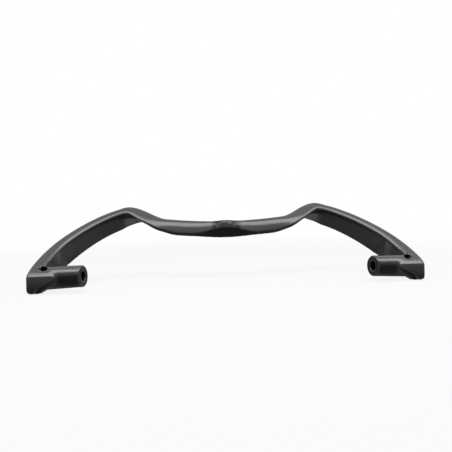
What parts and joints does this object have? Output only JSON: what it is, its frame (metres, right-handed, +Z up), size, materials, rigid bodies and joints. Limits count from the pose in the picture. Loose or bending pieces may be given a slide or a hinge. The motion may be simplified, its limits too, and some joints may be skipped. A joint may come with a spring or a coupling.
{
  "type": "motorcycle grab rail",
  "caption": "Cast grab rail for a motorcycle's tail: a bowed centre bar between raised shoulders, and channel-section arms that end in solid blocks with bored mounting bosses.",
  "frame": {"origin": "midway between the two boss faces that seat on the motorcycle's frame", "axes": "+X across the motorcycle along the line between the boss faces, +Y rearwards, +Z up as mounted"},
  "size_m": [0.3554, 0.1039, 0.0726],
  "materials": {
    "paint": "satin"
  },
  "bodies": {
    "root": {"grab_rail": "paint"}
  },
  "joints": []
}
